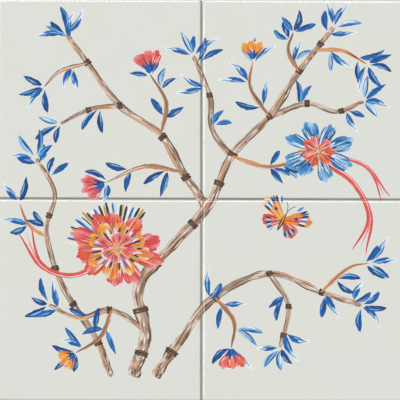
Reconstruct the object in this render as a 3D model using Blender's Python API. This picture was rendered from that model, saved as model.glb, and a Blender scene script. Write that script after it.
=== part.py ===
"""Tile panel: four square glazed ceramic tiles, two by two, with a thin cross of grout between them.

Metres, +Z up. The panel stands upright: +X is the viewer's right, the glazed faces look along -Y, and the
backs lie on the wall plane y = 0. The origin is the centre of the back, where the four tiles meet.
"""

import bmesh
import bpy
from mathutils import Vector

# Tile
TILE_SIDE = 0.150
TILE_THICKNESS = 0.007
EDGE_RADIUS = 0.0012
EDGE_STEPS = 6

# Keyed back: a flat rim, with grooves between ribs that hold the tile adhesive
BACK_RIM = 0.007
GROOVE_COUNT = 10
GROOVE_DEPTH = 0.0008
RIB_WIDTH = 0.004
GROOVE_DRAFT = 0.5

# Joint between tiles, and the grout in it
JOINT_WIDTH = 0.0012
GROUT_RECESS = 0.0015
GROUT_END_SETBACK = 0.0005
CONTACT_GAP = 0.0003

# A cutter stands this far out of the surface that it cuts
CUTTER_EXCESS = 0.001

# Which way each tile lies from the centre, as (right, up)
TILES = {
    "tile_top_left": (-1, 1),
    "tile_top_right": (1, 1),
    "tile_bottom_left": (-1, -1),
    "tile_bottom_right": (1, -1),
}

SMOOTH_BELOW_RADIANS = 0.6
ON_PLANE = 1e-6


def clear_scene():
    for obj in list(bpy.data.objects):
        bpy.data.objects.remove(obj, do_unlink=True)


def make_material(name, colour, roughness):
    material = bpy.data.materials.new(name)
    material.use_nodes = True
    shader = material.node_tree.nodes["Principled BSDF"]
    shader.inputs["Base Color"].default_value = (*colour, 1.0)
    shader.inputs["Roughness"].default_value = roughness
    shader.inputs["Metallic"].default_value = 0.0
    return material


def mesh_from(bm, name, material=None):
    bmesh.ops.recalc_face_normals(bm, faces=bm.faces)
    mesh = bpy.data.meshes.new(name)
    bm.to_mesh(mesh)
    bm.free()
    if material:
        mesh.materials.append(material)
    return mesh


def place(name, mesh, location, parent=None):
    obj = bpy.data.objects.new(name, mesh)
    obj.location = location
    obj.parent = parent
    bpy.context.scene.collection.objects.link(obj)
    return obj


def tile_mesh(material):
    """A square slab with its back on y = 0. Every edge but those of the back is rounded."""
    bm = bmesh.new()
    bmesh.ops.create_cube(bm, size=1.0)
    bmesh.ops.scale(bm, vec=(TILE_SIDE, TILE_THICKNESS, TILE_SIDE), verts=bm.verts)
    bmesh.ops.translate(bm, vec=(0.0, -TILE_THICKNESS / 2, 0.0), verts=bm.verts)
    rounded = [e for e in bm.edges if min(v.co.y for v in e.verts) < -ON_PLANE]
    bmesh.ops.bevel(
        bm,
        geom=rounded,
        offset=EDGE_RADIUS,
        segments=EDGE_STEPS,
        profile=0.5,
        affect="EDGES",
    )
    mesh = mesh_from(bm, "tile", material)
    mesh.shade_smooth()
    mesh.set_sharp_from_angle(angle=SMOOTH_BELOW_RADIANS)
    return mesh


def add_tapered_bar(bm, centre_z, length, width):
    """One groove's shape: a bar along X that narrows into the tile, as pressed clay does."""
    bar = bmesh.ops.create_cube(bm, size=1.0)["verts"]
    for vert in bar:
        inner = vert.co.y < 0
        y = -GROOVE_DEPTH if inner else CUTTER_EXCESS
        spread = GROOVE_DRAFT * y
        vert.co = Vector(
            (
                vert.co.x * (length + 2 * spread),
                y,
                centre_z + vert.co.z * (width + 2 * spread),
            )
        )


def groove_cutter_mesh():
    """All the grooves of one back, evenly spaced between the rims."""
    inner_side = TILE_SIDE - 2 * BACK_RIM
    groove_width = (inner_side - (GROOVE_COUNT - 1) * RIB_WIDTH) / GROOVE_COUNT
    pitch = groove_width + RIB_WIDTH
    bm = bmesh.new()
    for index in range(GROOVE_COUNT):
        centre_z = -inner_side / 2 + groove_width / 2 + index * pitch
        add_tapered_bar(bm, centre_z, inner_side, groove_width)
    return mesh_from(bm, "back_grooves")


def make_tiles(material):
    """Four tiles on one mesh, each with its own cutter for the keyed back."""
    body = tile_mesh(material)
    grooves = groove_cutter_mesh()
    step = (TILE_SIDE + JOINT_WIDTH) / 2
    for name, (right, up) in TILES.items():
        tile = place(name, body, (right * step, 0.0, up * step))
        cutter = place(name + "_grooves", grooves, (0.0, 0.0, 0.0), parent=tile)
        cutter.hide_render = True
        cutter.display_type = "WIRE"
        cut = tile.modifiers.new("keyed back", "BOOLEAN")
        cut.operation = "DIFFERENCE"
        cut.solver = "EXACT"
        cut.object = cutter


def make_grout(material):
    """A cross that fills both joints, set back from the glazed faces and from the panel's edges."""
    half_arm = TILE_SIDE + JOINT_WIDTH / 2 - GROUT_END_SETBACK
    half_width = JOINT_WIDTH / 2 - CONTACT_GAP
    depth = TILE_THICKNESS - GROUT_RECESS
    quarter = [(half_arm, -half_width), (half_arm, half_width), (half_width, half_width)]
    outline = []
    for turn in range(4):
        for x, z in quarter:
            for _ in range(turn):
                x, z = -z, x
            outline.append((x, z))
    bm = bmesh.new()
    back = bm.faces.new([bm.verts.new((x, 0.0, z)) for x, z in outline])
    made = bmesh.ops.extrude_face_region(bm, geom=[back])["geom"]
    front = [item for item in made if isinstance(item, bmesh.types.BMVert)]
    bmesh.ops.translate(bm, vec=(0.0, -depth, 0.0), verts=front)
    place("grout_cross", mesh_from(bm, "grout_cross", material), (0.0, 0.0, 0.0))


def main():
    clear_scene()
    glaze = make_material("ivory glaze", (0.73, 0.74, 0.68), 0.12)
    grout = make_material("grey grout", (0.32, 0.31, 0.275), 0.85)
    make_tiles(glaze)
    make_grout(grout)


main()
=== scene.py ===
"""Looks of the tile panel: four glazed tiles with a painted flowering spray, and the grout between them.

The picture is brush marks in millimetres on the panel's face, x to the right and z up, with the origin
where the tiles meet. Each tile's face is triangulated along the marks, so their colours lie flat in it.
"""

import math
import random
from collections import namedtuple

import bpy
import numpy as np
from mathutils import Matrix, Vector, noise
from mathutils.geometry import delaunay_2d_cdt


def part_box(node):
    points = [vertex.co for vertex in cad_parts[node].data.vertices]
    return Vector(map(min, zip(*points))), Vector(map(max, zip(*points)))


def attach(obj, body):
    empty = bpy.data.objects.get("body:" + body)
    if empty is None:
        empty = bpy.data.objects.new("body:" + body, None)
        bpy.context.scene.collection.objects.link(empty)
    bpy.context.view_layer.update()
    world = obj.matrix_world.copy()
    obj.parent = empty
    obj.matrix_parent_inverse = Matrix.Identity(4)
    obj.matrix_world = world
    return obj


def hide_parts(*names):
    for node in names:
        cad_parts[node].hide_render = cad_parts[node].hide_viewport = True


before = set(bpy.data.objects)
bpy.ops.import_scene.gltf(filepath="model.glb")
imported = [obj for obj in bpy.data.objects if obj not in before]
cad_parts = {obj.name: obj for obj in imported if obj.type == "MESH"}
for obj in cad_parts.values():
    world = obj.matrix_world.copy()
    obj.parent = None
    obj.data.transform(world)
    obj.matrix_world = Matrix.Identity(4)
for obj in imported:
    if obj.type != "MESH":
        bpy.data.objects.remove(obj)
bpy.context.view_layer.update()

MM = 0.001

# Sizes of the solids, in millimetres, measured on the parts from model.glb
TILES = ("tile_top_left", "tile_top_right", "tile_bottom_left", "tile_bottom_right")
tile_low, tile_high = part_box(TILES[1])
grout_low, grout_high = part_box("grout_cross")
TILE_SIDE = (tile_high.x - tile_low.x) / MM
HALF_TILE = TILE_SIDE / 2
THICKNESS = (tile_high.y - tile_low.y) / MM
HALF_JOINT = tile_low.x / MM
GROUT_REACH = grout_high.x / MM
GROUT_DEPTH = -grout_low.y / MM

# Tile: rounded glazed edge, bands of the side walls, small chamfer at the back, and the back's grooves
EDGE_RADIUS = 1.2
EDGE_STEPS = 7
CORNER_STEPS = 6
BAND_HEIGHT = 1.1
BAND_COUNT = 4
BACK_CHAMFER = 0.3
BACK_RIM = 7.0
GROOVE_COUNT = 10
RIB_WIDTH = 4.0

# A groove's section: how far in from its edge, and how deep
GROOVE_PROFILE = ((-0.12, 0.0), (0.02, 0.1), (0.34, 0.66), (0.55, 0.8))

# The glaze thins towards the tile's edges, so the face falls away a little before it rounds over
EDGE_FALL = 0.36
EDGE_FALL_REACH = 3.0
EDGE_FALL_INSETS = (1.4, 1.65, 1.95, 2.35)

# How far the glaze swells and sinks over the face, how long its waves are, how they shift with the tile's
# place, and the step that the slope is measured over
GLAZE_SWELL = 0.03
GLAZE_SWELL_LENGTH = 34.0
SWELL_SHIFT = (0.07, 0.031)
SLOPE_STEP = 0.5

# Spacing of the points along a tile's edge, over its face and on the grout
EDGE_SPACING = 2.5
FACE_SPACING = 5.0
GROUT_SPACING = 0.45

# Grout: how far its face lies over the solid's, how hollow it is, and the sand's height and waves per mm
GROUT_LIFT = 0.02
GROUT_HOLLOW = 0.22
GROUT_SAND = 0.05
GROUT_SAND_WAVES = 1.9

# Paint on the grout is brightened by this factor, painted light that cancels the shade of the recessed
# joints, so it looks the same there as on the tiles
PAINTED_LIGHT_IN_JOINTS = 1.6

# UV map for baking a tile's materials: the front's share of its side, and the gap around it
BAKE_MAP = "OFBake"
MAP_FRONT = 0.86
MAP_EDGE = 0.006

# A point this near a mark's edge, in square millimetres of turn, counts as in it. A triangle whose centre
# lies more than this far inside the outline, in millimetres, belongs to the plan.
ON_EDGE = 1e-6
INSIDE_BY = 1e-4

# Points closer than this become one, in the painted plans and in the back's. In the painted ones so do those
# that are the same to this many decimals.
PLAN_PRECISION = 1e-3
BACK_PRECISION = 1e-5
WELD_DECIMALS = 4

# A triangle lower than this counts as flat, and its middle point is moved this far off its long side
FLAT_HEIGHT = 1e-4
NUDGE = 4e-4

# Layers of the paint on a mesh's corners, and how many numbers each holds
ATTRIBUTES = {"core": 4, "side": 4, "under": 4, "brush": 3, "load": 3}

# A face that turns to the back by more than this is shaded flat
FACES_BACK = 0.3

SQUARE = ((-1, -1), (1, -1), (1, 1), (-1, 1))


def linear(red, green, blue):
    """A colour given in sRGB, 0 to 255, as linear light."""
    shares = np.array([red, green, blue]) / 255
    return np.where(shares <= 0.04045, shares / 12.92, ((shares + 0.055) / 1.055) ** 2.4)


IVORY = linear(223, 224, 216)
CEMENT = linear(160, 158, 149)
BISCUIT = linear(206, 170, 140)
# Pale kiln wash, laid on the back's raised ribs only, so the groove floors keep darker clay as painted shade
KILN_WASH_AND_GROOVE_SHADE = linear(226, 206, 184)

NAVY = linear(16, 54, 108)
COBALT = linear(18, 80, 152)
BLUE = linear(26, 108, 182)
SKY = linear(92, 166, 218)
MIST = linear(180, 214, 238)
WHITE = linear(250, 251, 250)
TEAL = linear(10, 82, 102)
SLATE = linear(62, 56, 46)
SOOT = linear(44, 38, 30)
UMBER = linear(112, 78, 58)
ASH = linear(166, 152, 136)
BARK = linear(156, 122, 98)
TAN = linear(208, 176, 152)
CREAM = linear(236, 222, 210)
AMBER = linear(222, 146, 90)
OCHRE = linear(168, 142, 40)
GOLD = linear(240, 178, 50)
ORANGE = linear(234, 122, 46)
CORAL = linear(220, 78, 62)
ROSE = linear(226, 84, 100)
PINK = linear(240, 156, 156)
CRIMSON = linear(196, 24, 58)


# What the brush holds: the main colour, one beside it, the colour that it ends in and from what share of
# the mark on, how far the second keeps to one side, and how wet the mark is at its start and its end. At 1
# it hides what is under it, and lower down the bristles leave gaps.
Paint = namedtuple("Paint", "core side tip tip_from lean cover", defaults=(None, 0.6, 0.6, (1.0, 0.9)))


def runs_of(path):
    return np.concatenate([[0], np.cumsum(np.linalg.norm(np.diff(path, axis=0), axis=1))])


def eased(count, ease):
    """Shares from 0 to 1 that lie closer together near both ends, where a mark's edge curves most."""
    even = np.linspace(0, 1, count)
    return even - ease * np.sin(2 * np.pi * even) / (2 * np.pi)


def smooth(points, spacing):
    """Points along a smooth curve through the given ones, closer together near its ends."""
    points = np.array(points, float)
    padded = np.vstack([2 * points[0] - points[1], points, 2 * points[-1] - points[-2]])
    step = np.linspace(0, 1, 16, endpoint=False)[:, None]
    curve = []
    for p0, p1, p2, p3 in zip(padded, padded[1:], padded[2:], padded[3:]):
        bend = (2 * p0 - 5 * p1 + 4 * p2 - p3) * step**2 + (3 * p1 - p0 - 3 * p2 + p3) * step**3
        curve.append(0.5 * (2 * p1 + (p2 - p0) * step + bend))
    curve = np.vstack(curve + [points[-1:]])
    run = runs_of(curve)
    wanted = run[-1] * eased(max(9, int(run[-1] / spacing) + 1), 0.7)
    return np.column_stack([np.interp(wanted, run, curve[:, k]) for k in (0, 1)])


def normals_of(path):
    """The direction to the right of the brush's travel, at each point."""
    tangent = np.gradient(path, axis=0)
    tangent /= np.linalg.norm(tangent, axis=1)[:, None]
    return np.column_stack([tangent[:, 1], -tangent[:, 0]])


def heading(degrees):
    return np.array([math.cos(math.radians(degrees)), math.sin(math.radians(degrees))])


# How a mark's width runs from its start to its end
SHAPES = {
    "leaf": lambda u: np.sin(np.pi * u**0.8) ** 0.85,
    "press": lambda u: np.sin(np.pi * u**1.2) ** 0.62 * np.minimum(u / 0.3, 1) ** 0.5,
    "lens": lambda u: np.sin(np.pi * u) ** 0.7,
    "stem": lambda u: (1 - (2 * u - 1) ** 24) ** 0.5,
    "taper": lambda u: (1 - u) ** 0.55 * (1 - (1 - u) ** 20) ** 0.5,
    "twig": lambda u: np.minimum(u / 0.3, 1) ** 0.5 * (1 - u) ** 0.5 * 1.2,
    "swell": lambda u: np.minimum(u / 0.08, 1) ** 0.5 * (0.3 + 0.7 * u) * (1 - u**7) ** 0.5,
    "dab": lambda u: (1 - (2 * u - 1) ** 2) ** 0.5,
}
LEAST_HALF_WIDTH = 0.03

# Waves per mm of a mark's trembling edge and of a branch's knobs, and how far the knobs change its width
TREMBLE_WAVES = 0.45
KNOB_WAVES = 0.11
KNOB_SHARE = 0.35


# The hand that lays the marks, and the marks in the order they were laid. Each is a ribbon, cut into pieces
# that have four corners, what their two ends hold (both colours, run, half width and cover), and their
# mark's order, lean and seed.
hand = random.Random(11)
between, pick, whole = hand.uniform, hand.choice, hand.randint
laid = {"corners": [], "ends": [], "owners": []}


def lay(path, width, shape, paint, waver=0.07):
    """Lays one mark along the points of a path. width is a number, or one for each point."""
    run = runs_of(path)
    share = run / run[-1]
    seed = between(0, 900)
    half = np.maximum(SHAPES[shape](share) * width / 2, LEAST_HALF_WIDTH)
    edges = []
    for sign in (-1, 1):
        tremble = [noise.noise(Vector((place * TREMBLE_WAVES, seed, 5 * sign))) for place in run]
        reach = half * (1 + waver * 2 * np.array(tremble))
        edges.append(path + sign * normals_of(path) * reach[:, None])
    left, right = edges
    late = np.clip((share - paint.tip_from) / (1 - paint.tip_from), 0, 1)[:, None]
    colours = []
    for colour in (paint.core, paint.side):
        tip = colour if paint.tip is None else paint.tip
        colours.append(colour + (tip - colour) * late)
    cover = paint.cover[0] + (paint.cover[1] - paint.cover[0]) * share
    held = np.column_stack([*colours, run, half, cover])
    order = len(laid["owners"])
    laid["owners"].append(np.tile((order, paint.lean, seed), (len(run) - 1, 1)))
    laid["corners"].append(np.stack([left[:-1], right[:-1], right[1:], left[1:]], axis=1))
    laid["ends"].append(np.stack([held[:-1], held[1:]], axis=1))


# Loaded brushes
LEAF_DEEP = Paint(COBALT, NAVY, lean=0.8)
LEAF_BLUE = Paint(BLUE, COBALT, lean=-0.9)
LEAF_SKY = Paint(SKY, BLUE, BLUE, lean=0.9)
LEAF_PALE = Paint(MIST, SKY, SKY, lean=0.8)
SHADE = Paint(COBALT, NAVY, lean=0.6, cover=(0.95, 0.8))
BODY = Paint(BLUE, COBALT, COBALT, lean=0.7, cover=(1, 0.8))
LIGHT = Paint(SKY, MIST, SKY, lean=0.7, cover=(0.75, 0.6))
RIM = Paint(BLUE, SKY, BLUE, lean=0.5, cover=(0.8, 0.9))
GLINT = Paint(WHITE, MIST, lean=0.4, cover=(0.8, 0.8))
FROST = Paint(MIST, WHITE, WHITE, 0.3, lean=0.4, cover=(0.8, 1))

# Kinds of leaf: share of all leaves up to this kind, the press's paint and end, a stroke over its tip, the
# streaks along it, and a stroke at its rim. Strokes give start, end, shift aside, share of width and paint.
LEAF_KINDS = (
    (0.36, LEAF_DEEP, 1, (), (BODY, SHADE, LIGHT), ()),
    (0.6, LEAF_BLUE, 1, (), (SHADE, LIGHT, SHADE), ()),
    (0.68, LEAF_SKY, 1, (), (BODY, SHADE, BODY), ()),
    (0.9, LEAF_BLUE, 0.9, (0.6, 1.16, 0.04, 0.66, FROST), (BODY, LIGHT), (0.55, 1.1, 0.42, 0.14, RIM)),
    (1, LEAF_PALE, 1, (), (BODY, GLINT, LIGHT), (0, 0.96, 0.38, 0.24, SHADE)),
)

WOOD = Paint(TAN, BARK, lean=0.5, cover=(1, 1))
WOOD_ASH = Paint(ASH, BARK, lean=0.4, cover=(0.9, 0.7))
WOOD_SHADE = Paint(BARK, UMBER, lean=0.5, cover=(0.85, 0.7))
WOOD_DARK = Paint(UMBER, SLATE, lean=0.3, cover=(0.85, 0.6))
WOOD_WARM = Paint(AMBER, TAN, lean=0.4, cover=(0.85, 0.6))
WOOD_LIGHT = Paint(CREAM, TAN, lean=0.2, cover=(0.9, 0.6))
WOOD_WHITE = Paint(WHITE, CREAM, lean=0.2, cover=(0.75, 0.5))
KNOT = Paint(SOOT, UMBER, lean=0.3, cover=(1, 1))
TWIG_STREAKS = (WOOD_DARK, WOOD_LIGHT, WOOD_SHADE)
TWIGS = (
    Paint(AMBER, BARK, BARK, 0.6, lean=0.9),
    Paint(AMBER, TAN, AMBER, 0.4, lean=0.9),
    Paint(TAN, UMBER, AMBER, 0.4, lean=0.9),
    Paint(BARK, AMBER, UMBER, 0.6, lean=-0.9),
)

# Strokes along a branch: how far aside, how thick, in which paints, shortest and longest run, longest gap
WOOD_STROKES = (
    (0.3, 0.38, (WOOD_SHADE, WOOD_SHADE, WOOD_ASH), 5, 14, 2),
    (-0.3, 0.36, (WOOD_WARM, WOOD_ASH, WOOD_LIGHT), 5, 12, 2),
    (0.43, 0.18, (WOOD_DARK,), 5, 16, 5),
    (-0.44, 0.14, (WOOD_DARK, WOOD_WARM), 5, 12, 9),
    (-0.05, 0.36, (WOOD_LIGHT, WOOD_ASH, WOOD), 4, 10, 2),
    (0.14, 0.18, (WOOD_DARK, WOOD_SHADE, WOOD_ASH), 4, 8, 4),
    (-0.2, 0.15, (WOOD_SHADE, WOOD_WARM, WOOD_DARK), 4, 8, 4),
    (0, 0.15, (WOOD_DARK, WOOD_WHITE, WOOD_WARM), 4, 7, 5),
    (0.28, 0.15, (WOOD_LIGHT, WOOD_WHITE), 4, 6, 9),
)

CORAL_WASHES = (
    Paint(CORAL, ORANGE, PINK, 0.75, lean=0.7),
    Paint(ROSE, CORAL, PINK, 0.7, lean=-0.7),
    Paint(CORAL, CRIMSON, ROSE, 0.7),
    Paint(ORANGE, CORAL, CORAL),
)
GOLD_WASHES = (
    Paint(ORANGE, GOLD, GOLD, 0.7, lean=0.7),
    Paint(GOLD, ORANGE, CREAM, 0.75, lean=-0.6),
    Paint(ORANGE, CORAL, AMBER),
)
ROSE_WASHES = (
    Paint(CRIMSON, ROSE, PINK, 0.7),
    Paint(ROSE, PINK, WHITE, 0.8, lean=-0.6),
    Paint(CORAL, ROSE, PINK),
)
BLUE_WASHES = (
    Paint(COBALT, BLUE, SKY, lean=0.7),
    Paint(TEAL, COBALT, SKY, 0.65, lean=-0.6),
    Paint(BLUE, SKY, MIST),
    Paint(NAVY, TEAL, BLUE, 0.5),
)
WARM_STREAKS = (
    Paint(CORAL, CRIMSON, cover=(1, 0.7)),
    Paint(ROSE, PINK, cover=(0.9, 0.6)),
    Paint(ORANGE, CORAL, cover=(1, 0.7)),
    Paint(PINK, WHITE, cover=(0.8, 0.7)),
    Paint(CRIMSON, ROSE, cover=(0.9, 0.5)),
    Paint(UMBER, CORAL, cover=(0.85, 0.5)),
    Paint(BARK, UMBER, cover=(0.85, 0.5)),
    Paint(CREAM, PINK, cover=(0.75, 0.5)),
)
GOLD_STREAKS = (
    Paint(GOLD, ORANGE, cover=(1, 0.7)),
    Paint(ORANGE, CORAL, cover=(0.9, 0.6)),
    Paint(CREAM, GOLD, cover=(0.8, 0.6)),
    Paint(CORAL, ROSE, cover=(0.8, 0.6)),
)
BLUE_STREAKS = (
    Paint(NAVY, TEAL, cover=(0.9, 0.6)),
    Paint(SKY, WHITE, cover=(0.8, 0.6)),
    Paint(BLUE, SKY, cover=(0.9, 0.7)),
    Paint(MIST, WHITE, cover=(0.75, 0.6)),
)
STRIPES = (
    Paint(NAVY, SLATE),
    Paint(OCHRE, GOLD),
    Paint(SLATE, NAVY),
    Paint(MIST, WHITE),
    Paint(COBALT, SKY),
    Paint(CREAM, WHITE),
)
HEART = (GOLD_STREAKS[0], GOLD_STREAKS[2])
TRAIL = Paint(ROSE, CORAL, CRIMSON, 0.8, lean=0.7)
DOT_GOLD = Paint(GOLD, CREAM)
DOT_DARK = Paint(SLATE, UMBER)


def leaf(base, angle, length, width, bend):
    """A leaf: one press of the brush, darker and lighter streaks along it, and on some a frosted tip."""
    direction = heading(angle)
    across = np.array([-direction[1], direction[0]])
    side = pick((-1, 1))
    form = pick(("press", "press", "leaf"))

    def stroke(start, end, shift, share, paint, shape="lens", waver=0.08):
        points = []
        for k in range(5):
            along = start + (end - start) * k / 4
            bow = bend * math.sin(math.pi * along) * length
            drift = side * shift * width * math.sin(math.pi * min(along, 1) ** 0.8)
            points.append(base + along * length * direction + (bow + drift) * across)
        lay(smooth(points, 1.2), width * share, shape, paint, waver)

    share = between(0, 1)
    _, press, end, tip, streaks, rim = next(kind for kind in LEAF_KINDS if share < kind[0])
    stroke(0, end, 0, 1, press, form, 0.14)
    if tip:
        stroke(*tip)
    for paint in streaks:
        start = between(0.02, 0.35)
        end = between(0.66, 0.96)
        shift = pick((-1, 1)) * between(0.1, 0.32)
        stroke(start, end, shift, between(0.18, 0.32), paint)
    if rim:
        stroke(*rim)


def leaves_on(path, spots):
    """Leaves along a twig. Each spot is a share of the twig and the angles that leaves leave it at."""
    points = smooth(path, 1)
    for share, angles in spots:
        index = min(int(share * (len(points) - 1)), len(points) - 2)
        step = points[index + 1] - points[index]
        along = math.degrees(math.atan2(step[1], step[0]))
        for angle in angles:
            length = between(12.5, 19.5)
            width = between(3.7, 5)
            turn = along + angle + between(-6, 6)
            start = points[index] + heading(turn) * between(1.2, 3)
            leaf(start, turn, length, width, between(-0.13, 0.13))


def twig(path, width, spots=()):
    points = smooth(path, 1.5)
    lay(points, width * 1.25, "twig", pick(TWIGS), 0.2)
    start = whole(1, len(points) // 2)
    lay(points[start:-2], width * 0.35, "lens", pick(TWIG_STREAKS))
    leaves_on(path, spots)


def branch(path, start_width, end_width):
    """A crooked branch in tan, with short strokes of many browns and creams along it. Returns its form."""
    points = smooth(path, 1.8)
    share = runs_of(points) / runs_of(points)[-1]
    knobbly = np.array([noise.noise(Vector((p[0] * KNOB_WAVES, p[1] * KNOB_WAVES, 3))) for p in points])
    width = (start_width + (end_width - start_width) * share) * (1 + KNOB_SHARE * knobbly)
    across = normals_of(points)
    lay(points, width, "stem", WOOD, 0.08)
    for shift, thick, paints, shortest, longest, gap in WOOD_STROKES:
        start = whole(0, 2)
        while start < len(points) - 5:
            end = min(start + whole(shortest, longest), len(points))
            side = shift + between(-0.08, 0.08)
            path = (points + across * (side * width)[:, None])[start:end]
            if len(path) > 3:
                lay(path, thick * width[start:end], "lens", pick(paints), 0.12)
            start = end + whole(-2, gap)
    return points, width


def knot(branches, centre):
    """Two dark bands side by side around the branch that comes nearest to a place."""
    points, width = min(branches, key=lambda form: np.linalg.norm(form[0] - centre, axis=1).min())
    index = np.linalg.norm(points - centre, axis=1).argmin()
    out = normals_of(points)[index]
    along = np.array([-out[1], out[0]])
    for row in (-1, 1):
        middle = points[index] + along * row
        reach = out * (width[index] * between(0.54, 0.66) + 0.4)
        skew = along * between(-0.3, 0.3)
        path = smooth([middle - reach - skew, middle + along * 0.2, middle + reach + skew], 0.8)
        lay(path, 2, "stem", KNOT, 0.25)
        lay(path[2:-3] + along * 0.2, 0.5, "lens", WOOD_SHADE)


def petal(base, angle, length, width, washes, streaks, bend, lines):
    """A petal: broad washes that fan out to a ruffled tip, then fine streaks that follow its form."""
    direction = heading(angle)
    across = np.array([direction[1], -direction[0]])

    def sweep(offset, start, end, thick, shape, paint):
        share = start + (end - start) * eased(11, 0.75)
        drift = length * bend * np.sin(np.pi * share / 2) ** 2
        drift += offset * width / 2 * (0.22 + 0.78 * np.sin(np.pi / 2 * share) ** 1.2)
        path = base + np.outer(share * length, direction) + np.outer(drift, across)
        lay(path, thick, shape, paint, 0.12)

    lobes = max(3, round(width / 3.2))
    offsets = [(index + 0.5) / lobes * 2 - 1 for index in range(lobes)]
    for offset in sorted(offsets, key=abs, reverse=True):
        reach = (1 - 0.2 * offset**2) * between(0.9, 1.03)
        sweep(offset * 0.78, 0, reach, width / lobes * 1.75, "swell", pick(washes))
    for index in range(lines):
        offset = ((index + 0.5) / lines * 2 - 1) * 0.82 + between(-0.06, 0.06)
        start = between(0, 0.3)
        end = between(0.7, 0.98) * (1 - 0.16 * offset**2)
        sweep(offset, start, end, between(0.6, 1.3), "lens", pick(streaks))


def fan(centre, inner, outer, first, last, count, paints, squash, width):
    """Narrow marks side by side around part of a circle, like a striped collar."""
    for index in range(count):
        angle = first + (last - first) * index / (count - 1) + between(-1.5, 1.5)
        reach = heading(angle) * (1, squash)
        end = outer * between(0.94, 1.06)
        path = smooth([centre + reach * inner, centre + reach * end], 1.4)
        lay(path, width, "swell", paints[index % len(paints)], 0.12)


def petals_around(centre, first, count, length, width, washes, streaks, squash, lines):
    """Petals all round a centre, seen a little from the side, no two of them alike."""
    for index in range(count):
        angle = first + 360 * index / count + between(-5, 5)
        direction = heading(angle) * (1, squash)
        turned = math.degrees(math.atan2(direction[1], direction[0]))
        base = centre + direction * length * 0.1
        grown = length * np.linalg.norm(direction) * between(0.86, 1.08)
        broad = width * between(0.85, 1.12)
        petal(base, turned, grown, broad, washes, streaks, between(-0.14, 0.14), lines)


def dots(centre, radius, count, paint, size):
    for index in range(count):
        way = heading(index * 137.5)
        middle = centre + way * radius * math.sqrt((index + 0.5) / count)
        step = way * size / 2
        lay(smooth([middle - step, middle + step], 0.6), size, "dab", paint)


def great_blossom(centre):
    """The main flower: a striped crest behind, coral petals, gold ones, a striped collar and a rosy heart."""
    fan(centre, 15, 37, 54, 172, 30, STRIPES, 0.95, 2.5)
    petals_around(centre, 12, 10, 31.5, 17, CORAL_WASHES, WARM_STREAKS, 0.86, 14)
    petals_around(centre, 30, 8, 23.5, 12.5, GOLD_WASHES, GOLD_STREAKS, 0.86, 10)
    fan(centre, 5, 18.5, 0, 348, 34, STRIPES, 0.86, 2)
    petals_around(centre + np.array((0, 1)), 0, 7, 13.5, 9, ROSE_WASHES, WARM_STREAKS, 0.9, 6)
    fan(centre, 0.5, 6.5, 0, 336, 15, HEART, 0.9, 1)
    dots(centre, 4.2, 16, DOT_GOLD, 1.3)
    dots(centre, 2.6, 7, DOT_DARK, 0.9)


def blue_blossom(centre):
    """The second flower: blue and teal petals around a coral heart."""
    petals_around(centre, 20, 8, 24, 13, BLUE_WASHES, BLUE_STREAKS, 0.9, 11)
    fan(centre, 4, 14.5, 0, 345, 24, (STRIPES[1], STRIPES[0], STRIPES[3]), 0.9, 1.7)
    petals_around(centre, 0, 7, 12.5, 8, CORAL_WASHES, WARM_STREAKS, 0.9, 4)
    fan(centre, 0.5, 5.5, 0, 330, 12, HEART, 0.9, 1)
    dots(centre, 2.8, 9, DOT_DARK, 0.8)


def bud(base, angle, size, washes, streaks):
    """A half-open bud: three petals held in a blue cup."""
    for spread in (-24, 24, 0):
        petal(base, angle + spread, size, size * 0.55, washes, streaks, spread * -0.004, 4)
    for spread in (-40, 40, -14, 14):
        path = smooth([base, base + heading(angle + spread) * size * 0.5], 1)
        lay(path, size * 0.2, "taper", LEAF_DEEP if spread < 0 else LEAF_BLUE)


def streamer(path, width):
    """A long trailing flower spike, in a broad sweep with finer ones over it, and a forked end."""
    points = smooth(path, 1.8)
    across = normals_of(points)
    share = (runs_of(points) / runs_of(points)[-1])[:, None]
    for side in (-1, 1):
        lay(points + across * side * width * 0.9 * share**4, width * 0.75, "taper", TRAIL, 0.12)
    for shift, paint in ((0.24, WARM_STREAKS[2]), (-0.22, WARM_STREAKS[3]), (0.02, WARM_STREAKS[4])):
        inner = points + across * shift * width * (1 - share)
        lay(inner[1:-4], width * 0.22, "taper", paint)


def butterfly(centre, tilt):
    ahead = heading(tilt + 90)
    for side in (-1, 1):

        def turned(angle):
            return tilt + 90 + side * angle

        def fringe(angle, reach, inner, outer, width, paint):
            way = heading(turned(angle))
            rim = centre + way * reach
            lay(smooth([rim - way * inner, rim + way * outer], 1.2), width, "lens", paint)

        wing = centre + heading(turned(90)) * 0.8
        petal(wing, turned(128), 15, 12, CORAL_WASHES, WARM_STREAKS, 0.1 * side, 6)
        petal(wing, turned(52), 21, 14.5, GOLD_WASHES, GOLD_STREAKS, -0.12 * side, 7)
        for index in range(9):
            paint = STRIPES[index % 2 * 3 if index % 3 else 4]
            fringe(30 + index * 6, 18.6 - abs(index - 3) * 0.55, 4.6, 1.6, 1.7, paint)
        for index in range(6):
            fringe(108 + index * 9, 11.6, 3, 1.8, 1.8, BLUE_STREAKS[index % 2])
        spot = wing + heading(turned(55)) * 9.5
        step = heading(turned(55)) * 1.6
        lay(smooth([spot - step, spot + step], 0.7), 2.4, "dab", BLUE_WASHES[1])
        root = centre + ahead * 6.5
        bent = root + heading(turned(18)) * 4.5
        feeler = [root, bent, bent + heading(turned(40)) * 3.5]
        lay(smooth(feeler, 1), 0.5, "stem", KNOT)
    path = smooth([centre - ahead * 9, centre + ahead * 7], 1.2)
    lay(path, 2.8, "leaf", KNOT)
    lay(path[3:-2], 0.9, "lens", GOLD_STREAKS[0])


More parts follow.
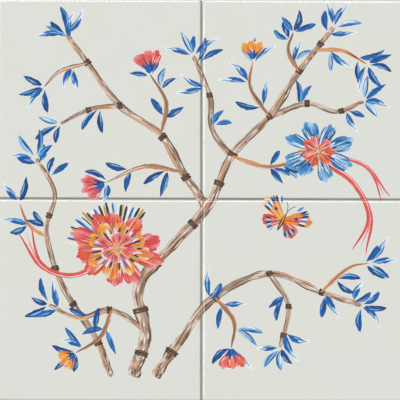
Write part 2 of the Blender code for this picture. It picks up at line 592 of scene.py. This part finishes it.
# Branches in the order they are laid: the points of each, and its width at the start and at the end
BRANCHES = {
    "slender": ([(-66, -134), (-78, -104), (-102, -66), (-114, -26), (-108, 4), (-122, 30)], 5, 2.8),
    "rising": ([(22, 32), (8, 52), (6, 78), (-6, 108)], 4.6, 2.8),
    "reaching": ([(50, 62), (78, 72), (100, 66), (120, 74)], 4.6, 2.8),
    "hanging": ([(50, -56), (64, -80), (58, -112)], 4.2, 2.6),
    "outer": ([(-60, 70), (-82, 67), (-104, 56)], 4, 2.4),
    "right": ([(-34, -134), (-14, -104), (10, -74), (50, -56), (88, -70), (118, -80)], 7.2, 3.4),
    "upper": ([(4, -6), (-14, 20), (-30, 48), (-60, 70), (-84, 102), (-100, 124)], 6.6, 3.4),
    "left": ([(-42, -98), (-66, -84), (-90, -90), (-112, -80)], 4.8, 2.8),
    "main": (
        [(-50, -134), (-41, -102), (-46, -66), (-20, -34), (6, -4), (22, 32), (50, 62), (72, 96), (98, 130)],
        9,
        3.8,
    ),
}
KNOTS = (
    ((-44, -116), (-44, -84), (-33, -50), (-8, -19), (14, 12), (23, 34), (50, 62), (72, 96), (88, 117))
    + ((-12, 16), (-29, 46), (-60, 70), (-84, 102), (-22, -116), (9, -75), (50, -56), (88, -70), (6, 78))
    + ((79, 72), (102, 66), (64, -80), (60, -102), (-66, -84), (-84, 66))
    + ((-76, -108), (-93, -80), (-107, -54), (-112, -14))
)

# Angles that the leaves of one spot leave the twig at
PAIR = (-46, 46)
THREE = (-46, 2, 48)
FOUR = (-74, -30, 10, 52)
LOW = (-84, -46)
HIGH = (84, 46)

# Twigs: points, width and leaves
SPRIGS = (
    ([(72, 96), (64, 112), (68, 126)], 2.8, [(0.35, LOW), (0.7, HIGH), (1, THREE)]),
    ([(84, 112), (104, 112), (122, 102)], 2.8, [(0.35, LOW), (0.7, PAIR), (1, FOUR)]),
    ([(50, 62), (36, 84), (38, 104)], 2.8, [(0.3, PAIR), (0.6, HIGH), (0.9, THREE)]),
    ([(-84, 102), (-104, 96), (-116, 84)], 2.6, [(0.4, HIGH), (1, FOUR)]),
    ([(-30, 48), (-26, 72), (-38, 94)], 2.8, [(0.35, PAIR), (0.65, LOW), (0.9, THREE)]),
    ([(-14, 20), (-42, 24), (-70, 12)], 3, [(0.3, HIGH), (0.6, PAIR), (0.9, THREE)]),
    ([(10, -74), (24, -92), (22, -112)], 3, [(0.3, PAIR), (0.6, HIGH), (0.95, THREE)]),
    ([(88, -70), (108, -52), (124, -48)], 2.6, [(0.4, LOW), (0.8, PAIR), (1, THREE)]),
    ([(-66, -84), (-74, -104), (-92, -116)], 2.8, [(0.4, PAIR), (0.75, LOW), (0.95, THREE)]),
    ([(-113, -30), (-127, -20), (-134, -4)], 2.4, [(0.5, HIGH), (1, (-30, 20))]),
)
BRANCH_LEAVES = (
    ("upper", [(0.93, (-40, 30)), (1, FOUR)]),
    ("main", [(0.93, (-44, 40)), (1, THREE)]),
    ("right", [(0.42, (48, 20)), (0.74, LOW), (0.9, HIGH), (1, FOUR)]),
    ("left", [(0.55, (-40,)), (0.8, PAIR), (1, THREE)]),
    ("rising", [(0.4, LOW), (0.62, HIGH), (0.82, LOW), (1, FOUR)]),
    ("reaching", [(0.4, HIGH), (0.7, LOW), (1, FOUR)]),
    ("hanging", [(0.4, LOW), (0.7, HIGH), (1, FOUR)]),
    ("outer", [(0.4, HIGH), (1, THREE)]),
    ("slender", [(0.3, (-40,)), (0.62, HIGH), (0.8, LOW), (0.92, PAIR), (1, FOUR)]),
)
BUDS = (
    ((-38, 96), 100, 17, CORAL_WASHES, WARM_STREAKS),
    ((-72, 11), 200, 17, ROSE_WASHES, WARM_STREAKS),
    ((38, 106), 92, 14, GOLD_WASHES, GOLD_STREAKS),
    ((22, -113), 275, 16, CORAL_WASHES, WARM_STREAKS),
    ((-93, -117), 215, 13, GOLD_WASHES, GOLD_STREAKS),
)


def paint_picture():
    """The flowering spray: branches, then twigs and leaves, then blossoms, buds and a butterfly."""
    branches = [branch(*form) for form in BRANCHES.values()]
    for centre in KNOTS:
        knot(branches, centre)
    for sprig in SPRIGS:
        twig(*sprig)
    for name, spots in BRANCH_LEAVES:
        leaves_on(BRANCHES[name][0], spots)
    twig([(22, 32), (50, 24), (78, 32)], 3)
    leaves_on([(50, 24), (78, 32)], [(0, (-72, -44, 40)), (0.4, (-60, -30))])
    streamer([(90, 28), (112, 12), (124, -14), (116, -40)], 6)
    streamer([(94, 34), (122, 24), (136, 0)], 4.2)
    streamer([(-66, -44), (-94, -58), (-118, -50), (-130, -24)], 6)
    blue_blossom((86, 36))
    great_blossom((-62, -38))
    for form in BUDS:
        bud(*form)
    butterfly((60, -16), -28)


def ring(half, corner_radius):
    """Points around a square of the given half side with rounded corners, anticlockwise."""
    straight = half - corner_radius
    count = max(2, round(2 * straight / EDGE_SPACING))
    points = []
    for quarter in range(4):
        turn, left = heading(90 * quarter), heading(90 * quarter + 90)
        points += [turn * half + left * (-straight + 2 * straight * step / count) for step in range(count)]
        for step in range(CORNER_STEPS if corner_radius > 0 else 1):
            angle = 90 * quarter + 90 * step / CORNER_STEPS
            points.append((turn + left) * straight + heading(angle) * corner_radius)
    return np.array(points)


def inset_of(plan):
    """How far inside the tile's rounded outline each point lies, and the way out to the outline."""
    excess = np.maximum(np.abs(plan) - (HALF_TILE - EDGE_RADIUS), 0.0)
    distance = np.linalg.norm(excess, axis=1)
    return EDGE_RADIUS - distance, excess * np.sign(plan) / np.maximum(distance, 1e-9)[:, None]


def inverse_bilinear(corners, points):
    """Where points lie in their quads, as shares from start to end and from left to right.

    corners is n by 4 by 2, in the order left start, right start, right end, left end. points is n by 2.
    """
    a, b, c, d = (corners[:, k] for k in range(4))
    u = np.full(len(points), 0.5)
    v = np.full(len(points), 0.5)
    for _ in range(8):
        u1, v1 = u[:, None], v[:, None]
        miss = (1 - u1) * ((1 - v1) * a + v1 * b) + u1 * ((1 - v1) * d + v1 * c) - points
        by_u = (1 - v1) * (d - a) + v1 * (c - b)
        by_v = (1 - u1) * (b - a) + u1 * (c - d)
        determinant = by_u[:, 0] * by_v[:, 1] - by_u[:, 1] * by_v[:, 0]
        determinant = np.where(np.abs(determinant) < 1e-9, 1e-9, determinant)
        u = np.clip(u - (miss[:, 0] * by_v[:, 1] - miss[:, 1] * by_v[:, 0]) / determinant, 0, 1)
        v = np.clip(v - (by_u[:, 0] * miss[:, 1] - by_u[:, 1] * miss[:, 0]) / determinant, 0, 1)
    return u, v


class MarkTable:
    """The pieces of all marks that can be seen, as one table for a lookup."""

    def __init__(self):
        for name, rows in laid.items():
            setattr(self, name, np.concatenate(rows))
        self.low = self.corners.min(axis=1)
        self.high = self.corners.max(axis=1)
        shown = [piece for piece in range(len(self.corners)) if not self.is_hidden(piece)]
        for name, rows in list(vars(self).items()):
            setattr(self, name, rows[shown])

    def is_hidden(self, piece):
        """Whether two later marks or more cover a piece all over. Only the top two marks are ever seen."""
        order = self.owners[:, 0]
        later = piece + self.near(self.low[piece], self.high[piece], piece)
        later = later[order[later] > order[piece]]
        if len(later) == 0:
            return False
        corners = self.corners[piece]
        middle = corners.mean(axis=0)
        samples = np.vstack([corners, (corners + np.roll(corners, -1, axis=0)) / 2, middle])
        samples = middle + (samples - middle) * 0.98
        held = self.holds(np.repeat(later, len(samples)), np.tile(samples, (len(later), 1)))
        first_of_mark = np.flatnonzero(np.diff(order[later], prepend=-1))
        by_mark = np.logical_or.reduceat(held.reshape(len(later), -1), first_of_mark, axis=0)
        return bool((by_mark.sum(axis=0) >= 2).all())

    def near(self, low, high, start=0):
        """The pieces from a given one on that reach into a box, counted from that one."""
        return np.nonzero((self.high[start:] > low).all(axis=1) & (self.low[start:] < high).all(axis=1))[0]

    def holds(self, pieces, points):
        """Whether each point lies in its piece, on either side of the piece's own sense of turning."""
        corners = self.corners[pieces]
        edges = np.roll(corners, -1, axis=1) - corners
        ways = points[:, None] - corners
        turns = edges[..., 0] * ways[..., 1] - edges[..., 1] * ways[..., 0]
        return (turns > -ON_EDGE).all(axis=1) | (turns < ON_EDGE).all(axis=1)

    def look_up(self, pieces, points):
        """What the paint of each piece holds at its point, as layers for the corners of a mesh."""
        u, v = inverse_bilinear(self.corners[pieces], points)
        held = self.ends[pieces, 0] + (self.ends[pieces, 1] - self.ends[pieces, 0]) * u[:, None]
        run, half, cover = held[:, 6:].T
        _, lean, seed = self.owners[pieces].T
        share = 2 * v - 1
        return {
            "core": np.column_stack([held[:, :3], np.ones(len(points))]),
            "side": np.column_stack([held[:, 3:6], np.ones(len(points))]),
            "brush": np.column_stack([run, share * half, seed]),
            "load": np.column_stack([share, lean, cover]),
        }


def open_flat_triangles(plan, triangles):
    corners = plan[triangles]
    sides = np.roll(corners, -1, axis=1) - corners
    lengths = np.linalg.norm(sides, axis=2)
    turn = sides[:, 0, 0] * sides[:, 1, 1] - sides[:, 0, 1] * sides[:, 1, 0]
    longest = lengths.argmax(axis=1)
    for index in np.flatnonzero(turn / lengths.max(axis=1) < FLAT_HEIGHT):
        side = sides[index, longest[index]] / lengths[index, longest[index]]
        middle = triangles[index, (longest[index] + 2) % 3]
        plan[middle] += np.array([-side[1], side[0]]) * NUDGE


def read_paint(table, corners, pairs, ground):
    """The top mark at each triangle, and the one under it, read at the triangle's corners.

    pairs holds triangles with pieces that may cover them. Each counts where it holds the centre, because a
    piece that folds over itself in a tight bend can claim triangles far away.
    """
    centres = corners.mean(axis=1)
    by_triangle = {}
    for index, piece in pairs[table.holds(pairs[:, 1], centres[pairs[:, 0]])]:
        by_triangle.setdefault(index, {})[table.owners[piece, 0]] = piece
    seen = np.full((2, len(corners)), -1)
    for index, by_mark in by_triangle.items():
        for layer, order in enumerate(sorted(by_mark, reverse=True)[:2]):
            seen[layer, index] = by_mark[order]
    corners = corners.reshape(-1, 2)
    layers = {name: np.zeros((len(corners), size)) for name, size in ATTRIBUTES.items()}
    layers["under"][:, :3] = ground
    top, under = np.repeat(seen, 3, axis=1)
    lower = table.look_up(under[under >= 0], corners[under >= 0])
    layers["under"][under >= 0, :3] = (0.6 * lower["core"] + 0.4 * lower["side"])[:, :3]
    for name, values in table.look_up(top[top >= 0], corners[top >= 0]).items():
        layers[name][top >= 0] = values
    return layers


def painted_plan(table, reach, centre, rings, loose, inside, ground):
    """A flat region cut into triangles along the marks, with what the paint holds at each corner."""
    points, edges = [], []
    for outline in rings:
        first, count = len(points), len(outline)
        points.extend(outline)
        edges.extend((first + k, first + (k + 1) % count) for k in range(count))
    points.extend(loose)
    pieces = table.near(centre - reach, centre + reach)
    faces = [[len(points) + 4 * n + k for k in range(4)] for n in range(len(pieces))]
    points.extend(table.corners[pieces].reshape(-1, 2))
    found = delaunay_2d_cdt([Vector(p) for p in points], edges, faces, 0, PLAN_PRECISION, True)
    plan = np.array([tuple(p) for p in found[0]])
    rounded = np.round(plan, WELD_DECIMALS)
    _, first, welded = np.unique(rounded, axis=0, return_index=True, return_inverse=True)
    plan = plan[first]
    triangles = welded.ravel()[np.array(found[2])]
    proper = (triangles != np.roll(triangles, 1, axis=1)).all(axis=1)
    trios = np.unique(np.sort(triangles, axis=1), axis=0, return_inverse=True, return_counts=True)
    single = trios[2][trios[1].ravel()] == 1
    kept = np.flatnonzero(proper & single & inside(plan[triangles].mean(axis=1)))
    used, renumbered = np.unique(triangles[kept], return_inverse=True)
    plan, triangles = plan[used], renumbered.reshape(-1, 3)
    open_flat_triangles(plan, triangles)
    pairs = [(index, pieces[face]) for index, k in enumerate(kept) for face in found[5][k]]
    return plan, triangles, read_paint(table, plan[triangles], np.array(pairs), ground)


def outline_loop(triangles):
    """The boundary of a triangulated disc, as vertex indices in the triangles' own direction."""
    sides = {(triangle[k - 1], triangle[k]) for triangle in triangles.tolist() for k in range(3)}
    follow = {start: end for start, end in sides if (end, start) not in sides}
    loop = [min(follow)]
    while follow[loop[-1]] != loop[0]:
        loop.append(follow[loop[-1]])
    return loop


def place_new(name, data):
    obj = bpy.data.objects.new(name, data)
    bpy.context.scene.collection.objects.link(obj)
    return obj


def build_mesh(name, points, faces, kinds, materials, painted, bake_map=None):
    """A mesh object in metres. painted holds the attributes of the first faces' corners."""
    mesh = bpy.data.meshes.new(name)
    mesh.from_pydata((np.array(points) * MM).tolist(), [], faces)
    for material in materials:
        mesh.materials.append(material)
    mesh.polygons.foreach_set("material_index", kinds)
    for attribute, size in ATTRIBUTES.items():
        kind = "FLOAT_COLOR" if size == 4 else "FLOAT_VECTOR"
        layer = mesh.attributes.new(attribute, kind, "CORNER")
        values = np.zeros((len(mesh.loops), size), np.float32)
        values[: len(painted[attribute])] = painted[attribute]
        layer.data.foreach_set("color" if size == 4 else "vector", values.ravel())
    if bake_map is not None:
        layer = mesh.uv_layers.new(name=BAKE_MAP)
        layer.uv.foreach_set("vector", bake_map.astype(np.float32).ravel())
    mesh.shade_smooth()
    return place_new(name, mesh)


def upright(plan, depth):
    """Points of a mesh from their places in the plan and their depths."""
    return np.insert(plan, 1, depth, axis=1).tolist()


def swell_at(plan, offset):
    """Depth of the glaze under the face plane: slow waves, from 0 to twice GLAZE_SWELL."""
    waves = [noise.noise(Vector((x, z, offset))) for x, z in plan / GLAZE_SWELL_LENGTH]
    return GLAZE_SWELL * (1 + np.array(waves))


def front_surface(plan, offset):
    """Depth and normal of the glazed front at each point of a tile's plan."""
    inset, outward = inset_of(plan)
    rise = np.clip((EDGE_RADIUS - inset) / EDGE_RADIUS, 0, 1)
    facing = np.sqrt(1 - rise**2)
    flat = np.clip(inset / EDGE_FALL_REACH, 0, 1)
    flat = flat * flat * (3 - 2 * flat)
    depth = EDGE_RADIUS * (1 - facing) + swell_at(plan, offset) * flat
    normal = np.column_stack([outward[:, 0] * rise, -facing, outward[:, 1] * rise])
    for axis, column in ((0, 0), (1, 2)):
        shift = np.eye(2)[axis] * SLOPE_STEP
        slope = (swell_at(plan + shift, offset) - swell_at(plan - shift, offset)) / (2 * SLOPE_STEP) * flat
        near = np.clip(1 - (HALF_TILE - np.abs(plan[:, axis])) / EDGE_FALL_REACH, 0, 1)
        depth = depth + EDGE_FALL * near**3 * facing
        slope = slope + 3 * EDGE_FALL / EDGE_FALL_REACH * near**2 * np.sign(plan[:, axis])
        normal[:, column] += slope * facing
    return depth, normal / np.linalg.norm(normal, axis=1)[:, None]


def bake_map_of(front, back, edge, bands):
    """Each corner's place on the bake map: front in a large square, walls above it, back beside it.

    front and back are the corners' places from 0 to 1 on the tile.
    """
    far = 2 * MAP_EDGE + MAP_FRONT
    rest = 1 - MAP_EDGE - far
    around = runs_of(np.vstack([edge, edge[:1]]))
    around = around / around[-1]
    strip = []
    for band in range(bands):
        low, high = band / bands, (band + 1) / bands
        for start, end in zip(around, around[1:]):
            strip += [(end, low), (start, low), (start, high), (end, high)]
    above = (MAP_EDGE, far) + np.array(strip) * (1 - 2 * MAP_EDGE, rest)
    return np.vstack([MAP_EDGE + front * MAP_FRONT, above, (far, MAP_EDGE) + back * (rest, MAP_FRONT)])


def back_plan(rim):
    """The keyed back: the chamfered outline and the grooves' nested outlines.

    Returns each point's place, depth and number among the points put in, rim first, and the triangles.
    """
    inner_side = TILE_SIDE - 2 * BACK_RIM
    groove_width = (inner_side - (GROOVE_COUNT - 1) * RIB_WIDTH) / GROOVE_COUNT
    count = len(rim)
    points = list(rim)
    depths = [0.0] * count
    edges = [(k, (k + 1) % count) for k in range(count)]
    for index in range(GROOVE_COUNT):
        centre = -inner_side / 2 + groove_width / 2 + index * (groove_width + RIB_WIDTH)
        for inset, depth in GROOVE_PROFILE:
            half_length, half_width = inner_side / 2 - inset, groove_width / 2 - inset
            first = len(points)
            points += [(x * half_length, centre + z * half_width) for x, z in SQUARE]
            depths += [depth] * 4
            edges += [(first + k, first + (k + 1) % 4) for k in range(4)]
    found = delaunay_2d_cdt([Vector(p) for p in points], edges, [], 0, BACK_PRECISION, True)
    plan = np.array([tuple(p) for p in found[0]])
    sources = [min(group) for group in found[3]]

    def is_outside(triangle):
        """A triangle in a dent of the outline joins three of its points in the reverse of their order."""
        a, b, c = (sources[k] for k in triangle)
        return max(a, b, c) < count and (b - a) % count > (c - a) % count

    triangles = [triangle for triangle in found[2] if not is_outside(triangle)]
    return plan, [depths[k] for k in sources], sources, triangles


def make_tile(name, table, glaze, biscuit):
    """One tile as a closed mesh: painted front with rounded edges, side walls, chamfer and keyed back."""
    low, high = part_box(name)
    centre = np.array([(low.x + high.x) / 2, (low.z + high.z) / 2]) / MM
    rings = []
    for step in range(EDGE_STEPS + 1):
        inset = EDGE_RADIUS * (1 - math.sin(math.pi / 2 * step / EDGE_STEPS))
        rings.append(ring(HALF_TILE - inset, EDGE_RADIUS - inset) + centre)
    rings += [ring(HALF_TILE - inset, 0.0) + centre for inset in EDGE_FALL_INSETS]
    reach = HALF_TILE - EDGE_FALL_REACH
    spread = np.linspace(-reach, reach, int(2 * reach / FACE_SPACING))
    loose = [centre + (x, z) for x in spread for z in spread]

    def inside(points):
        return inset_of(points - centre)[0] > INSIDE_BY

    plan, front, paint = painted_plan(table, HALF_TILE, centre, rings, loose, inside, IVORY)
    shift = centre[0] * SWELL_SHIFT[0] + centre[1] * SWELL_SHIFT[1]
    depth, normals = front_surface(plan - centre, shift)
    points = upright(plan, depth - THICKNESS)
    normals = normals.tolist()
    faces = front.tolist()
    loop = outline_loop(front)
    edge = plan[loop]
    outward = inset_of(edge - centre)[1]

    levels = [(-THICKNESS + EDGE_RADIUS + k * BAND_HEIGHT, 0.0) for k in range(1, BAND_COUNT + 1)]
    levels += [(-BACK_CHAMFER, 0.0), (0.0, BACK_CHAMFER)]
    above = loop
    for y, inset in levels:
        below = list(range(len(points), len(points) + len(loop)))
        points += upright(edge - outward * inset, y)
        normals += upright(outward, 0.0)
        quads = zip(above[1:] + above[:1], above, below, below[1:] + below[:1])
        faces += [list(quad) for quad in quads]
        above = below

    behind, depths, sources, triangles = back_plan(edge - outward * BACK_CHAMFER - centre)
    lookup = []
    for place, depth, source in zip(behind + centre, depths, sources):
        if source < len(loop):
            lookup.append(below[source])
            continue
        lookup.append(len(points))
        points.append([place[0], -depth, place[1]])
    back = [[lookup[k] for k in reversed(triangle)] for triangle in triangles]
    kinds = [0] * len(faces) + [1] * len(back)
    faces += back

    places = (np.array(points)[:, [0, 2]] - centre + HALF_TILE) / TILE_SIDE
    bake_map = bake_map_of(places[front.ravel()], places[np.ravel(back)], edge, len(levels))
    obj = build_mesh(name + "_glazed", points, faces, kinds, (glaze, biscuit), paint, bake_map)
    shade_tile(obj.data, normals)
    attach(obj, "root")
    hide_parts(name)


def shade_tile(mesh, normals):
    """Smooth normals from the form itself on the front and walls, and flat ones on the chamfer and back."""
    of_corners = []
    for polygon in mesh.polygons:
        if polygon.material_index == 1 or polygon.normal.y > FACES_BACK:
            of_corners += [tuple(polygon.normal)] * polygon.loop_total
        else:
            of_corners += [normals[k] for k in polygon.vertices]
    mesh.normals_split_custom_set(of_corners)


def make_grout(table, cement):
    """The grout: a cross that fills the joints wall to wall, slightly hollow, and sandy on top."""
    arm = GROUT_REACH
    outer = []
    for quarter in range(4):
        turn, left = heading(90 * quarter), heading(90 * quarter + 90)
        inward = np.arange(arm, HALF_JOINT, -GROUT_SPACING)
        outer += [turn * place - left * HALF_JOINT for place in inward[::-1]]
        outer.append(turn * arm)
        outer += [turn * place + left * HALF_JOINT for place in inward]
        outer.append((turn + left) * HALF_JOINT)
    loose = []
    for place in np.arange(-arm + GROUT_SPACING, arm, GROUT_SPACING):
        for shift in np.linspace(-HALF_JOINT, HALF_JOINT, 5)[1:-1]:
            loose.append((place, shift))
            if abs(place) > HALF_JOINT:
                loose.append((shift, place))

    def inside(points):
        reach = np.abs(points)
        return (reach.min(axis=1) < HALF_JOINT - INSIDE_BY) & (reach.max(axis=1) < arm)

    plan, front, paint = painted_plan(table, arm, np.zeros(2), [outer], loose, inside, CEMENT)
    # Painted light: the paint on the grout is made brighter to cancel the shade in the recessed joints
    for layer in ("core", "side"):
        colours = paint[layer][:, :3]
        paint[layer][:, :3] = np.minimum(colours * PAINTED_LIGHT_IN_JOINTS, 1.0)
    hollow = GROUT_HOLLOW * (1 - (np.abs(plan).min(axis=1) / HALF_JOINT) ** 2)
    sand = [noise.noise(Vector((x, z, 0.5))) for x, z in plan * GROUT_SAND_WAVES]
    depth = -GROUT_DEPTH + GROUT_LIFT + hollow + GROUT_SAND * (1 + np.array(sand))
    points = upright(plan, depth) + upright(plan, 0.0)
    under = len(plan)
    loop = outline_loop(front)
    faces = front.tolist()
    faces += [[b, a, a + under, b + under] for a, b in zip(loop, loop[1:] + loop[:1])]
    faces += (front[:, ::-1] + under).tolist()
    kinds = [0] * len(faces)
    obj = build_mesh("grout_cross_sanded", points, faces, kinds, (cement,), paint)
    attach(obj, "root")
    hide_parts("grout_cross")


class Shader:
    """A short way to add nodes to a material and join them. Noise scales are in waves per metre."""

    def __init__(self, name):
        self.material = bpy.data.materials.new(name)
        self.material.use_nodes = True
        self.tree = self.material.node_tree
        self.surface = self.tree.nodes["Principled BSDF"]

    def add(self, kind, inputs=(), **settings):
        node = self.tree.nodes.new("ShaderNode" + kind)
        for name, value in settings.items():
            setattr(node, name, value)
        for key, value in dict(inputs).items():
            self.set(node.inputs[key], value)
        return node

    def set(self, socket, value):
        if isinstance(value, bpy.types.NodeSocket):
            self.tree.links.new(value, socket)
        elif isinstance(value, np.ndarray):
            socket.default_value = (*value, 1.0)
        else:
            socket.default_value = value

    def finish(self, colour, roughness, height, strength, distance):
        """Joins the colour, the roughness and the height of a bump to the surface."""
        bump = self.add("Bump", {"Height": height, "Strength": strength, "Distance": distance})
        self.set(self.surface.inputs["Base Color"], colour)
        self.set(self.surface.inputs["Roughness"], roughness)
        self.set(self.surface.inputs["Normal"], bump.outputs[0])
        return self.material

    def attribute(self, name, output="Color"):
        return self.add("Attribute", attribute_name=name).outputs[output]

    def parts(self, vector):
        return self.add("SeparateXYZ", {0: vector}).outputs

    def maths(self, operation, first, second, clamp=False):
        node = self.add("Math", {0: first, 1: second}, operation=operation, use_clamp=clamp)
        return node.outputs[0]

    def ramp(self, value, low, high, to_low=0.0, to_high=1.0):
        inputs = {0: value, 1: low, 2: high, 3: to_low, 4: to_high}
        return self.add("MapRange", inputs, interpolation_type="SMOOTHSTEP").outputs[0]

    def mix(self, share, first, second):
        return self.add("Mix", {0: share, 6: first, 7: second}, data_type="RGBA").outputs[2]

    def noise(self, vector, scale, detail=2.0, roughness=0.5):
        inputs = {"Vector": vector, "Scale": scale, "Detail": detail, "Roughness": roughness}
        return self.add("TexNoise", inputs).outputs[0]

    def place(self):
        return self.add("TexCoord").outputs["Object"]


def painted_colour(shader, ground):
    """The ground with the brush marks on it: streaks along each mark, and gaps where the brush ran dry."""
    run, across, seed = shader.parts(shader.attribute("brush", "Vector"))
    share, lean, cover = shader.parts(shader.attribute("load", "Vector"))

    def bristles(along_scale, across_scale, shift):
        along = shader.maths("MULTIPLY", run, along_scale)
        aside = shader.maths("MULTIPLY", across, across_scale)
        own = shader.maths("ADD", seed, shift)
        vector = shader.add("CombineXYZ", {0: along, 1: aside, 2: own})
        return shader.noise(vector.outputs[0], 1.0, 3.0, 0.6)

    leaning = shader.maths("MULTIPLY", shader.maths("MULTIPLY", share, lean), 0.6)
    wandering = shader.maths("MULTIPLY", shader.maths("SUBTRACT", bristles(0.13, 1.5, 0.0), 0.5), 2.5)
    amount = shader.maths("ADD", shader.maths("ADD", leaning, wandering), 0.36, clamp=True)
    paint = shader.mix(amount, shader.attribute("core"), shader.attribute("side"))
    depth = shader.ramp(bristles(0.3, 3.4, 41.0), 0.3, 0.7, 0.8, 1.16)
    tone = shader.add("VectorMath", {0: paint, "Scale": depth}, operation="SCALE").outputs[0]
    wet = shader.maths("SUBTRACT", cover, bristles(0.25, 3.0, 87.0))
    laid = shader.mix(shader.ramp(wet, 0.02, 0.16), shader.attribute("under"), tone)
    return shader.mix(shader.attribute("core", "Alpha"), ground, laid)


def biscuit_colour(shader):
    """Bare fired clay with faint clouds and dark specks, and traces of a pale kiln wash on the ribs that
    leave painted shade in the grooves.
    """
    place = shader.place()
    clouds = shader.ramp(shader.noise(place, 26.0), 0.35, 0.65)
    clay = shader.mix(clouds, BISCUIT, BISCUIT * (0.95, 0.91, 0.86))
    specks = shader.ramp(shader.noise(place, 1400.0, 1.0), 0.68, 0.74)
    clay = shader.mix(specks, clay, BISCUIT * 0.45)
    # The ribs get the pale kiln wash in rubbed patches and the groove floors do not: a wash, and painted
    # shade in the grooves
    raised = shader.ramp(shader.parts(place)[1], -0.0005, -0.0001)
    rubbed = shader.ramp(shader.noise(place, 70.0, 5.0, 0.75), 0.42, 0.66, 0.05, 0.6)
    return shader.mix(shader.maths("MULTIPLY", raised, rubbed), clay, KILN_WASH_AND_GROOVE_SHADE)


def glaze_material():
    """The painted glaze, which runs a little way down the side walls and ends there in a ragged line."""
    shader = Shader("painted_glaze")
    place = shader.place()
    mottle = shader.ramp(shader.noise(place, 14.0, 3.0), 0.3, 0.7)
    ground = shader.mix(mottle, IVORY * (1.0, 0.995, 0.985), IVORY * (0.985, 0.99, 1.0))
    ragged = shader.maths("MULTIPLY", shader.noise(place, 90.0), 0.0022)
    bare = shader.ramp(shader.maths("ADD", shader.parts(place)[1], ragged), -0.0022, -0.0019)
    colour = shader.mix(bare, painted_colour(shader, ground), biscuit_colour(shader))
    gloss = shader.ramp(shader.noise(place, 35.0), 0.3, 0.7, 0.06, 0.09)
    rough = shader.maths("ADD", gloss, shader.maths("MULTIPLY", bare, 0.7))
    return shader.finish(colour, rough, shader.noise(place, 420.0), 0.03, 0.001)


def biscuit_material():
    shader = Shader("bare_biscuit")
    grit = shader.noise(shader.place(), 900.0, 4.0, 0.7)
    return shader.finish(biscuit_colour(shader), 0.85, grit, 0.35, 0.0006)


def grout_material():
    shader = Shader("sanded_grout")
    place = shader.place()
    clouds = shader.ramp(shader.noise(place, 45.0, 3.0), 0.3, 0.7)
    cement = shader.mix(clouds, CEMENT, CEMENT * 0.82)
    grains = shader.ramp(shader.noise(place, 2600.0, 1.0), 0.6, 0.72)
    cement = shader.mix(grains, cement, CEMENT * 1.35)
    sand = shader.noise(place, 1800.0, 3.0, 0.7)
    return shader.finish(painted_colour(shader, cement), 0.88, sand, 0.5, 0.0004)


# Studio, in metres: the camera stands far off and looks a little up at the panel
CAMERA_DISTANCE = 8.0
CAMERA_AZIMUTH = -0.8
CAMERA_ELEVATION = -12.0
CAMERA_ROLL = 0.02
FRAME_WIDTH = 0.2945
AIM = Vector((-0.001, -0.007, -0.00105))
SENSOR_WIDTH = 36.0

# Area lights: place, aim, size, watts and colour. The flat glaze mirrors none of them to the camera, but the
# rounded edges catch the first two.
LIGHTS = {
    "top": ((0.1, -7.2, 3.5), (0, 0, -0.4), (3.0, 2.2), 156, (1.0, 0.995, 0.98)),
    "left": ((-1.95, -7.6, 1.65), (0, 0, -0.4), (2.0, 1.4), 90, (1.0, 0.985, 0.95)),
    "behind": ((-4.0, 2.6, 5.6), (0, 0, 0), (1.6, 1.6), 330, (1.0, 1.0, 1.0)),
}
WORLD_COLOUR = (0.9, 0.92, 0.95, 1.0)
WORLD_STRENGTH = 0.6

FLOOR_LEVEL = -2.2
FLOOR_HALF_SIDE = 12.0
FLOOR_COLOUR = (0.86, 0.86, 0.85, 1.0)
FLOOR_ROUGHNESS = 0.7


def make_camera():
    azimuth = math.radians(CAMERA_AZIMUTH)
    elevation = math.radians(CAMERA_ELEVATION)
    level = Vector((math.sin(azimuth), -math.cos(azimuth), 0.0))
    away = level * math.cos(elevation) + Vector((0.0, 0.0, math.sin(elevation)))
    data = bpy.data.cameras.new("camera")
    data.sensor_width = SENSOR_WIDTH
    data.lens = SENSOR_WIDTH * CAMERA_DISTANCE / FRAME_WIDTH
    data.clip_start = 0.05
    camera = place_new("camera", data)
    camera.location = AIM + away * CAMERA_DISTANCE
    roll = Matrix.Rotation(math.radians(CAMERA_ROLL), 3, "Z")
    camera.rotation_euler = (away.to_track_quat("Z", "Y").to_matrix() @ roll).to_euler()
    bpy.context.scene.camera = camera


def make_studio():
    world = bpy.data.worlds.new("studio")
    world.use_nodes = True
    background = world.node_tree.nodes["Background"]
    background.inputs["Color"].default_value = WORLD_COLOUR
    background.inputs["Strength"].default_value = WORLD_STRENGTH
    bpy.context.scene.world = world
    bpy.context.scene.view_settings.view_transform = "Standard"
    for name, (place, aim, size, watts, colour) in LIGHTS.items():
        data = bpy.data.lights.new(name, "AREA")
        data.shape = "RECTANGLE"
        data.size, data.size_y = size
        data.energy = watts
        data.color = colour
        light = place_new(name, data)
        light.location = place
        light.rotation_euler = (Vector(aim) - Vector(place)).to_track_quat("-Z", "Y").to_euler()

    mesh = bpy.data.meshes.new("floor")
    corners = [(x * FLOOR_HALF_SIDE, y * FLOOR_HALF_SIDE, 0) for x, y in SQUARE]
    mesh.from_pydata(corners, [], [(0, 1, 2, 3)])
    shader = Shader("pale_floor")
    shader.surface.inputs["Base Color"].default_value = FLOOR_COLOUR
    shader.surface.inputs["Roughness"].default_value = FLOOR_ROUGHNESS
    mesh.materials.append(shader.material)
    floor = place_new("floor", mesh)
    floor.location.z = FLOOR_LEVEL


make_camera()
make_studio()
paint_picture()
marks = MarkTable()
glaze = glaze_material()
biscuit = biscuit_material()
for tile in TILES:
    make_tile(tile, marks, glaze, biscuit)
make_grout(marks, grout_material())
